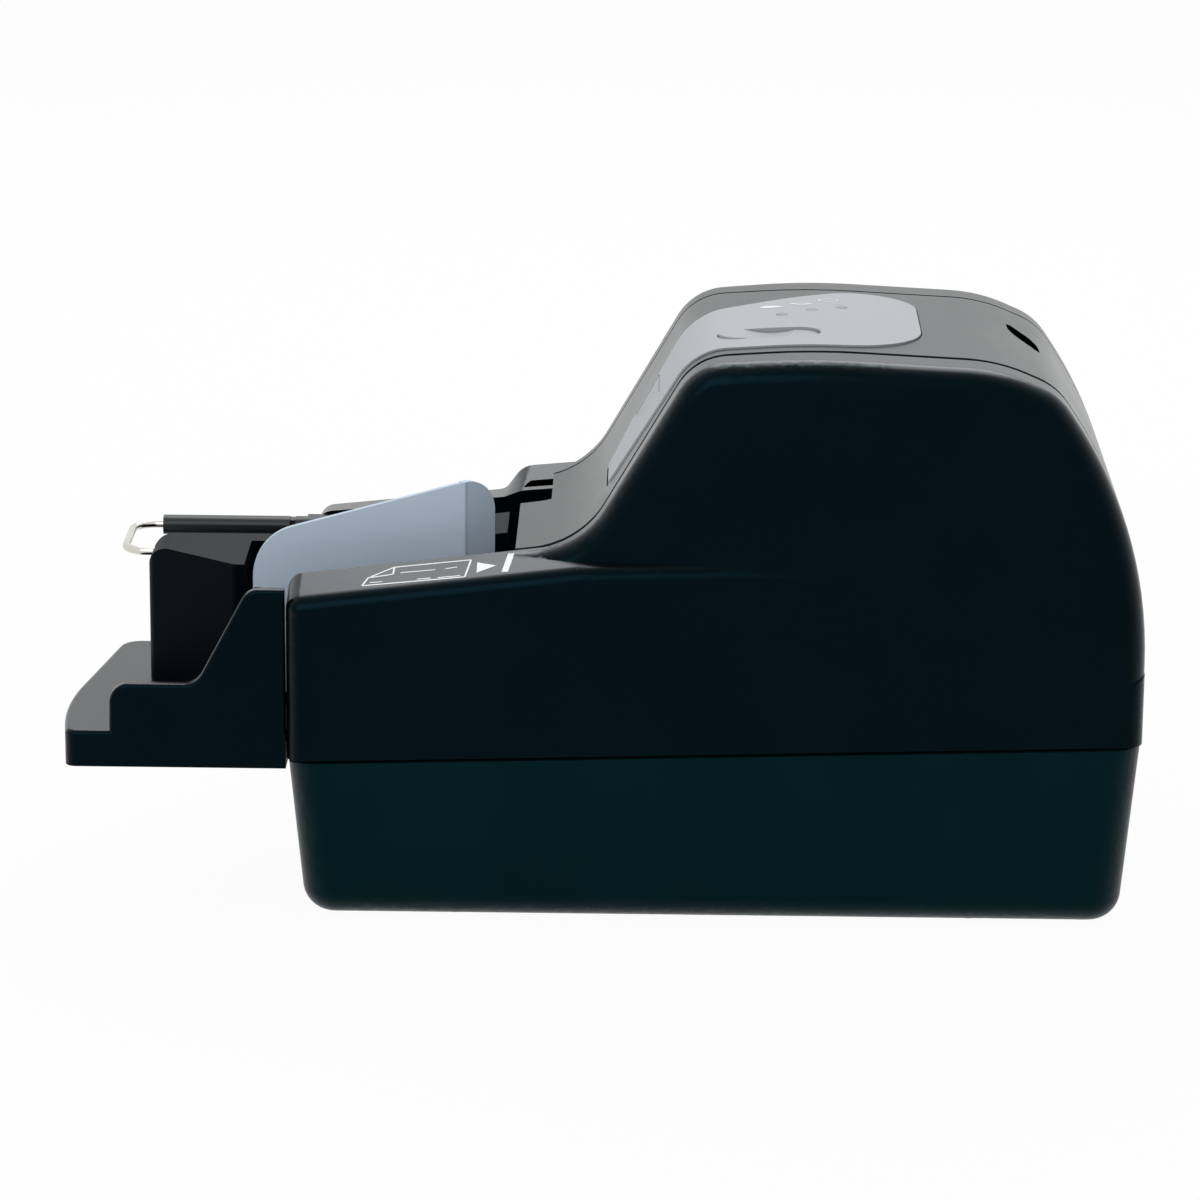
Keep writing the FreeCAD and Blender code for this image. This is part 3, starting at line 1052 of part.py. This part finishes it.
def make_readers():
    side = slot_inner
    low, tall = d.camera_bottom, d.camera_height
    glass_x = (d.camera_x - d.glass_length / 2 + d.fit, d.camera_x + d.glass_length / 2 - d.fit)
    glass_z = (low + d.fit * 2, low + tall - d.fit * 2)
    node(box("front_glass_plate", glass_x, (-side, -side + d.guide_wall), glass_z), "front_camera_glass")
    node(box("front_camera_block", (d.camera_x - d.camera_length / 2, d.camera_x + d.camera_length / 2),
             (-side + d.guide_wall, -side + d.guide_wall + d.camera_depth), (d.deck_top, low + tall)),
         "front_camera")
    outer = slot_outer
    rear_x = (d.rear_camera_x - d.glass_length / 2 + d.fit, d.rear_camera_x + d.glass_length / 2 - d.fit)
    node(box("rear_glass_plate", rear_x, (-outer - d.guide_wall, -outer), glass_z), "rear_camera_glass")
    node(box("rear_camera_block",
             (d.rear_camera_x - d.camera_length / 2, d.rear_camera_x + d.camera_length / 2),
             (-outer - d.guide_wall - d.rear_camera_depth, -outer - d.guide_wall), (d.deck_top, low + tall)),
         "rear_camera")
    head_x = (d.head_x + d.fit, d.head_x + d.head_length - d.fit)
    head_z = (d.deck_top, d.tyre_low + d.head_height - d.fit)
    node(box("head_block", head_x, (-side, -side + d.head_depth), head_z), "magnetic_head")
    node(box("magnet_block_body", (d.magnet_x, d.magnet_x + d.head_length),
             (-outer - d.guide_wall - d.head_length, -outer - d.guide_wall),
             (d.deck_top, d.deck_top + d.head_height)),
         "magnet_block")
    board = box("board_sheet", (d.board_front, d.board_rear), (-d.board_half, d.board_half),
                (d.board_bottom, d.board_bottom + d.board_thickness))
    node(board, "main_board")
    node(box("cartridge_block", (d.cartridge_x, d.cartridge_x + d.cartridge_length),
             (side - d.guide_wall - d.fit - d.cartridge_depth, side - d.guide_wall - d.fit),
             (d.deck_top, d.deck_top + d.cartridge_height)), "ink_cartridge")


make_base()
make_covers()
make_top_cover()
make_feeder()
make_rear()
make_track()
make_readers()
doc.recompute()

failed = [item.Name for item in doc.Objects if {"Invalid", "Error"} & set(item.State)]
for item in NODES:
    shape = item.Shape
    if shape.isNull() or not shape.isValid():
        failed.append(item.Label)
        continue
    print(item.Label, len(shape.Solids), round(shape.Volume), shape.optimalBoundingBox(False, False))
if failed:
    raise SystemExit("failed: " + ", ".join(failed))
os.makedirs("parts", exist_ok=True)
for item in NODES:
    item.Shape.exportStep("parts/%s.step" % item.Label)
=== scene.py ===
import json
import math

import bpy
from mathutils import Matrix, Vector
from mathutils.bvhtree import BVHTree


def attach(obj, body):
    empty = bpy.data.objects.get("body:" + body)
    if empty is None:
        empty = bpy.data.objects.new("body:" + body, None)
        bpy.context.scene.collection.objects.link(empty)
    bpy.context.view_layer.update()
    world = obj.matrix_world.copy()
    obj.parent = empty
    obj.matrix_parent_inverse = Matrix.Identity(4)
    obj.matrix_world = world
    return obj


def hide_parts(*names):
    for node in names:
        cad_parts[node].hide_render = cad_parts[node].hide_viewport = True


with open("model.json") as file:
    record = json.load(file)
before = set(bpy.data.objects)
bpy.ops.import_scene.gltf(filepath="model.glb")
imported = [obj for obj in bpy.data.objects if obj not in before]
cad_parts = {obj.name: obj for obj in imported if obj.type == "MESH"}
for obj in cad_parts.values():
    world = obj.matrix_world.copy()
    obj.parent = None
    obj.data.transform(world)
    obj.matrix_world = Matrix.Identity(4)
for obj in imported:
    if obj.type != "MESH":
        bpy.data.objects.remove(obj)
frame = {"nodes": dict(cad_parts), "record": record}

MM = 0.001
# Camera: turned and raised by these angles, at this distance from its aim
CAMERA_TURN, CAMERA_RISE, CAMERA_TILT = 0.65, 15.8, 0.48
CAMERA_AIM = Vector((-0.0001, -0.059, 0.1022))
CAMERA_DISTANCE, CAMERA_LENS, FILM_WIDTH, CAMERA_NEAR = 1.440, 147.3, 36.0, 0.05
# Stage: floor, world and lamps (name, place, aim, size, power)
FLOOR_SIZE, FLOOR_LEVEL, FLOOR_GREY, FLOOR_WHITE_SHARE = 6.0, -0.0002, (0.80, 0.81, 0.82, 1.0), 0.95
WORLD_LIGHT, WORLD_SEEN = 0.45, 1.0
LAMPS = (("overhead", (0.1, 0.85, 1.25), (0.0, 0.0, 0.1), 1.1, 14.0),
         ("near_side", (-0.5, -1.4, 0.9), (0.0, 0.0, 0.08), 1.0, 9.0))
# Moulding edges: sharp edges from this angle are rounded, and faces within the other look smooth
ROUND_FROM, SMOOTH_WITHIN, MERGE_WITHIN, FLAT_WITHIN = 32.0, 35.0, 0.002, 0.6
EDGE_ROUNDS = {"right_cover": 0.5, "left_cover": 0.5, "top_cover": 0.4, "base_shell": 0.4, "front_tray": 0.6,
               "centre_wall": 1.2, "pocket_arm": 0.4, "control_panel": 0.5, "pusher_plate": 0.6,
               "feed_button": 0.5, "panel_window": 0.2}
# Prints, in millimetres
PRINT_LIFT, SIGN_LINE, PANEL_LINE, RING_LINE = 0.06, 0.55, 0.6, 0.5
# A height above the whole object, in metres
ABOVE_ALL = 0.3
# Slow drifts of colour and gloss, and the depth of the fine grain
DRIFT_SCALE, DRIFT_DETAIL, GRAIN_DETAIL, GRAIN_STRENGTH = 28.0, 3.0, 2.0, 0.35

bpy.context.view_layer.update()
scene = bpy.context.scene
NODES = frame["nodes"]
BODY_OF = {node: body for body, nodes in frame["record"]["behaviour"]["bodies"].items() for node in nodes}


# Materials
def grained(name, colour, roughness, grain=1600.0, depth=0.03, drift=0.10, gloss_drift=0.05, metallic=0.0,
            shine=0.5, tint=(1.0, 1.0, 1.0), bend=1.5):
    """A surface with a fine moulded grain, and slow drifts of colour and gloss."""
    mat = bpy.data.materials.new(name)
    mat.use_nodes = True
    nodes, links = mat.node_tree.nodes, mat.node_tree.links
    shader = nodes["Principled BSDF"]
    shader.inputs["Metallic"].default_value = metallic
    shader.inputs["Specular IOR Level"].default_value = shine
    shader.inputs["Specular Tint"].default_value = (*tint, 1.0)
    shader.inputs["IOR"].default_value = bend
    place = nodes.new("ShaderNodeTexCoord")
    slow = nodes.new("ShaderNodeTexNoise")
    slow.inputs["Scale"].default_value = DRIFT_SCALE
    slow.inputs["Detail"].default_value = DRIFT_DETAIL
    links.new(place.outputs["Object"], slow.inputs["Vector"])
    shades = nodes.new("ShaderNodeValToRGB")
    dark = [c * (1.0 - drift) for c in colour]
    light = [min(1.0, c * (1.0 + drift)) for c in colour]
    shades.color_ramp.elements[0].position = 0.3
    shades.color_ramp.elements[0].color = (*dark, 1.0)
    shades.color_ramp.elements[1].position = 0.7
    shades.color_ramp.elements[1].color = (*light, 1.0)
    links.new(slow.outputs["Fac"], shades.inputs["Fac"])
    links.new(shades.outputs["Color"], shader.inputs["Base Color"])
    gloss = nodes.new("ShaderNodeMapRange")
    gloss.inputs["To Min"].default_value = roughness - gloss_drift
    gloss.inputs["To Max"].default_value = roughness + gloss_drift
    links.new(slow.outputs["Fac"], gloss.inputs["Value"])
    links.new(gloss.outputs["Result"], shader.inputs["Roughness"])
    fine = nodes.new("ShaderNodeTexNoise")
    fine.inputs["Scale"].default_value = grain
    fine.inputs["Detail"].default_value = GRAIN_DETAIL
    links.new(place.outputs["Object"], fine.inputs["Vector"])
    bump = nodes.new("ShaderNodeBump")
    bump.inputs["Strength"].default_value = GRAIN_STRENGTH
    bump.inputs["Distance"].default_value = depth * MM
    links.new(fine.outputs["Fac"], bump.inputs["Height"])
    links.new(bump.outputs["Normal"], shader.inputs["Normal"])
    return mat


FINISHES = {
    "base_plastic": grained("dark_base_moulding", (0.0014, 0.0118, 0.0148), 0.34, shine=0.3,
                             tint=(0.02, 0.12, 0.16), bend=1.45),
    "cover_plastic": grained("black_cover_moulding", (0.0006, 0.0025, 0.0038), 0.26,
                              tint=(0.015, 0.052, 0.073), bend=1.75),
    "panel_plastic": grained("pale_panel_moulding", (0.365, 0.39, 0.41), 0.36, drift=0.02, shine=0.2),
    "window_plastic": grained("grey_window_plastic", (0.22, 0.235, 0.26), 0.30, drift=0.03),
    "plate_plastic": grained("blue_grey_plate_moulding", (0.50, 0.60, 0.71), 0.42, drift=0.02, shine=0.2),
    "light_plastic": grained("light_lens", (0.20, 0.22, 0.25), 0.20, drift=0.03),
    "rubber": grained("black_rubber", (0.012, 0.012, 0.012), 0.75, grain=900.0, depth=0.05),
    "socket_plastic": grained("socket_moulding", (0.008, 0.008, 0.009), 0.45),
    "track_plastic": grained("track_moulding", (0.010, 0.012, 0.014), 0.40),
    "roller_plastic": grained("roller_moulding", (0.55, 0.55, 0.52), 0.45, drift=0.03),
    "board": grained("varnished_board", (0.010, 0.09, 0.03), 0.30, drift=0.15),
    "magnet": grained("ground_magnet", (0.09, 0.09, 0.095), 0.45, metallic=0.8),
    "nickel": grained("bright_nickel", (0.62, 0.60, 0.56), 0.16, depth=0.006, drift=0.04, metallic=1.0,
                      gloss_drift=0.04),
    "steel": grained("brushed_steel_skin", (0.50, 0.50, 0.51), 0.32, depth=0.010, metallic=1.0),
    "motor_steel": grained("satin_motor_can", (0.40, 0.40, 0.41), 0.38, depth=0.012, metallic=1.0),
    "pulley": grained("turned_aluminium", (0.55, 0.55, 0.57), 0.30, depth=0.010, metallic=1.0),
    "lens_glass": grained("dark_lens_glass", (0.02, 0.025, 0.03), 0.08, depth=0.002, drift=0.2,
                          gloss_drift=0.02),
}
DULL_WALL = grained("dull_wall_moulding", (0.0010, 0.0022, 0.0030), 0.46, shine=0.06, tint=(0.1, 0.3, 0.4))
GREY_ARM = grained("grey_arm_moulding", (0.008, 0.012, 0.014), 0.40, shine=0.35)
MARK_WHITE = grained("white_mark_ink", (0.80, 0.82, 0.83), 0.45, drift=0.02)

OWN_FINISH = {"centre_wall": DULL_WALL, "pocket_arm": GREY_ARM}

SLOT_OF = {part["node"]: part["material_slot"] for part in frame["record"]["subparts"]}


def dress(piece, mat):
    piece.data.materials.clear()
    piece.data.materials.append(mat)


for node_name, node_object in NODES.items():
    node_object.data.materials.clear()
    node_object.data.materials.append(FINISHES[SLOT_OF[node_name]])


# Modelling helpers
def clear_selection():
    bpy.ops.object.select_all(action="DESELECT")


def pick(piece):
    clear_selection()
    piece.select_set(True)
    bpy.context.view_layer.objects.active = piece


def settle(piece):
    """The piece's place goes into its mesh."""
    pick(piece)
    bpy.ops.object.transform_apply(location=True, rotation=True, scale=True)


def finish_with(piece, kind, **values):
    """Adds a modifier with these values and applies it."""
    pick(piece)
    modifier = piece.modifiers.new(kind.lower(), kind)
    for key, value in values.items():
        setattr(modifier, key, value)
    bpy.ops.object.modifier_apply(modifier=modifier.name)


def softened(node, width, segments=3):
    """A copy of a moulding with its sharp edges rounded over, in the node's place."""
    source = NODES[node]
    piece = bpy.data.objects.new(node + "_moulding", source.data.copy())
    scene.collection.objects.link(piece)
    pick(piece)
    bpy.ops.object.mode_set(mode="EDIT")
    bpy.ops.mesh.select_all(action="SELECT")
    bpy.ops.mesh.remove_doubles(threshold=MERGE_WITHIN * MM)
    bpy.ops.mesh.dissolve_limited(angle_limit=math.radians(FLAT_WITHIN))
    bpy.ops.object.mode_set(mode="OBJECT")
    finish_with(piece, "BEVEL", width=width * MM, segments=segments, limit_method="ANGLE",
                angle_limit=math.radians(ROUND_FROM), use_clamp_overlap=True, miter_outer="MITER_ARC")
    bpy.ops.object.shade_smooth_by_angle(angle=math.radians(SMOOTH_WITHIN))
    finish_with(piece, "WEIGHTED_NORMAL", mode="FACE_AREA", weight=50, keep_sharp=True)
    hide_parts(node)
    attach(piece, BODY_OF[node])
    dress(piece, FINISHES[SLOT_OF[node]])
    return piece


# Camera, floor and light
def make_camera():
    """The camera stands to the near side, with the photograph's slight tilt."""
    turn, pitch, tilt = (math.radians(angle) for angle in (CAMERA_TURN, CAMERA_RISE, CAMERA_TILT))
    forward = Vector((-math.sin(turn) * math.cos(pitch), math.cos(turn) * math.cos(pitch), -math.sin(pitch)))
    right = forward.cross(Vector((0.0, 0.0, 1.0))).normalized()
    above = right.cross(forward)
    across = right * math.cos(tilt) + above * math.sin(tilt)
    upward = above * math.cos(tilt) - right * math.sin(tilt)
    data = bpy.data.cameras.new("camera")
    data.lens = CAMERA_LENS
    data.sensor_width = FILM_WIDTH
    data.clip_start = CAMERA_NEAR
    camera = bpy.data.objects.new("camera", data)
    scene.collection.objects.link(camera)
    camera.location = CAMERA_AIM - forward * CAMERA_DISTANCE
    camera.rotation_euler = Matrix((across, upward, -forward)).transposed().to_euler()
    scene.camera = camera


def seen_white(nodes, links):
    """1 for the rays that show the background: the camera's, and those off metal or through glass."""
    path = nodes.new("ShaderNodeLightPath")
    first, second = nodes.new("ShaderNodeMath"), nodes.new("ShaderNodeMath")
    first.operation = second.operation = "MAXIMUM"
    links.new(path.outputs["Is Camera Ray"], first.inputs[0])
    links.new(path.outputs["Is Glossy Ray"], first.inputs[1])
    links.new(first.outputs[0], second.inputs[0])
    links.new(path.outputs["Is Transmission Ray"], second.inputs[1])
    return second.outputs[0]


def paper_floor():
    """Pale paper that keeps the object's shadow and shows white to the camera."""
    mat = bpy.data.materials.new("white_paper")
    mat.use_nodes = True
    nodes, links = mat.node_tree.nodes, mat.node_tree.links
    shader = nodes["Principled BSDF"]
    shader.inputs["Base Color"].default_value = FLOOR_GREY
    shader.inputs["Roughness"].default_value = 0.9
    glow = nodes.new("ShaderNodeEmission")
    mix = nodes.new("ShaderNodeMixShader")
    share = nodes.new("ShaderNodeMath")
    share.operation = "MULTIPLY"
    share.inputs[1].default_value = FLOOR_WHITE_SHARE
    links.new(seen_white(nodes, links), share.inputs[0])
    links.new(share.outputs[0], mix.inputs["Fac"])
    links.new(shader.outputs["BSDF"], mix.inputs[1])
    links.new(glow.outputs["Emission"], mix.inputs[2])
    links.new(mix.outputs["Shader"], nodes["Material Output"].inputs["Surface"])
    return mat


def make_stage():
    clear_selection()
    bpy.ops.mesh.primitive_plane_add(size=FLOOR_SIZE, location=(0.0, 0.0, FLOOR_LEVEL))
    floor = bpy.context.object
    floor.name = "floor"
    settle(floor)
    dress(floor, paper_floor())
    world = bpy.data.worlds.new("studio")
    scene.world = world
    world.use_nodes = True
    nodes, links = world.node_tree.nodes, world.node_tree.links
    back = nodes["Background"]
    strength = nodes.new("ShaderNodeMapRange")
    strength.inputs["To Min"].default_value = WORLD_LIGHT
    strength.inputs["To Max"].default_value = WORLD_SEEN
    links.new(seen_white(nodes, links), strength.inputs["Value"])
    links.new(strength.outputs["Result"], back.inputs["Strength"])
    back.inputs["Color"].default_value = (1.0, 1.0, 1.0, 1.0)
    for name, place, aim, size, power in LAMPS:
        data = bpy.data.lights.new(name, "AREA")
        data.size = size
        data.energy = power
        lamp = bpy.data.objects.new(name, data)
        scene.collection.objects.link(lamp)
        lamp.location = place
        lamp.rotation_euler = (Vector(aim) - Vector(place)).to_track_quat("-Z", "Y").to_euler()


# Printed marks
def stroke(start, end, width):
    """A flat bar between two places in plan, in millimetres."""
    (x0, y0), (x1, y1) = start, end
    bpy.ops.mesh.primitive_plane_add(size=1.0)
    bar = bpy.context.object
    bar.scale = (math.dist(start, end) * MM, width * MM, 1.0)
    bar.rotation_euler.z = math.atan2(y1 - y0, x1 - x0)
    bar.location = ((x0 + x1) / 2 * MM, (y0 + y1) / 2 * MM, 0.0)
    settle(bar)
    return bar


def disc(place, length, width, turn=0.0, corners=48):
    bpy.ops.mesh.primitive_circle_add(vertices=corners, radius=0.5, fill_type="NGON")
    patch = bpy.context.object
    patch.scale = (length * MM, width * MM, 1.0)
    patch.rotation_euler.z = math.radians(turn)
    patch.location = (place[0] * MM, place[1] * MM, 0.0)
    settle(patch)
    return patch


def inlay(name, patches, carrier):
    """Lays flat patches on the carrier from above, as a thin print."""
    clear_selection()
    for patch in patches:
        patch.select_set(True)
    bpy.context.view_layer.objects.active = patches[0]
    if len(patches) > 1:
        bpy.ops.object.join()
    piece = bpy.context.object
    piece.name = name
    piece.data.name = name
    pick(piece)
    bpy.ops.object.mode_set(mode="EDIT")
    bpy.ops.mesh.select_all(action="SELECT")
    bpy.ops.mesh.quads_convert_to_tris()
    bpy.ops.mesh.subdivide(number_cuts=3)
    bpy.ops.object.mode_set(mode="OBJECT")
    solid = NODES[carrier].data
    skin = BVHTree.FromPolygons([vertex.co for vertex in solid.vertices],
                                [face.vertices for face in solid.polygons])
    for vertex in piece.data.vertices:
        hit = skin.ray_cast(Vector((vertex.co.x, vertex.co.y, ABOVE_ALL)), Vector((0.0, 0.0, -1.0)))[0]
        vertex.co.z = hit.z + PRINT_LIFT * MM
    dress(piece, MARK_WHITE)
    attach(piece, BODY_OF[carrier])
    return piece


def ledge_mark():
    """A cheque with a folded corner, an arrow and the stop bar that it is pushed against."""
    sheet = ((-70.2, -54.6), (-68.6, -50.6), (-61.1, -46.2), (-38.4, -46.6), (-39.9, -55.6))
    patches = [stroke(sheet[i - 1], sheet[i], SIGN_LINE) for i in range(len(sheet))]
    patches.append(stroke((-61.1, -46.4), (-61.3, -50.0), SIGN_LINE))
    patches.append(stroke((-61.3, -50.0), (-68.4, -50.6), SIGN_LINE))
    for start, end in (((-59.1, -49.6), (-48.8, -50.0)), ((-45.8, -50.0), (-42.4, -49.8)),
                       ((-68.1, -53.3), (-64.4, -53.5)), ((-54.1, -54.1), (-50.0, -54.3)),
                       ((-47.9, -54.5), (-41.3, -54.7))):
        patches.append(stroke(start, end, SIGN_LINE * 0.8))
    patches.append(disc((-34.6, -51.2), 6.6, 7.6, turn=-90.0, corners=3))
    patches.append(stroke((-26.6, -45.6), (-28.2, -55.2), 1.9))
    return inlay("ledge_mark", patches, "right_cover")


def panel_marks():
    """Small white signs beside the status lights: a bar, a triangle and a ring."""
    inlay("panel_bar_mark", [disc((50.2, 17.1), 6.6, 2.6)], "control_panel")
    corners = ((56.2, 20.8), (59.6, 18.8), (62.8, 20.6))
    sides = [stroke(corners[0], corners[1], PANEL_LINE), stroke(corners[1], corners[2], PANEL_LINE),
             stroke(corners[2], corners[0], PANEL_LINE)]
    inlay("panel_triangle_mark", sides, "control_panel")
    (x, y), (length, width), count = (67.9, 25.6), (2.9, 1.7), 20
    round_places = [(x + length * math.cos(math.tau * i / count), y + width * math.sin(math.tau * i / count))
                    for i in range(count)]
    ring = [stroke(round_places[i - 1], round_places[i], RING_LINE) for i in range(count)]
    inlay("panel_ring_mark", ring, "control_panel")


make_camera()
make_stage()
scene.view_settings.view_transform = "Standard"

for moulded_node, edge in EDGE_ROUNDS.items():
    moulding = softened(moulded_node, edge)
    if moulded_node in OWN_FINISH:
        dress(moulding, OWN_FINISH[moulded_node])
ledge_mark()
panel_marks()
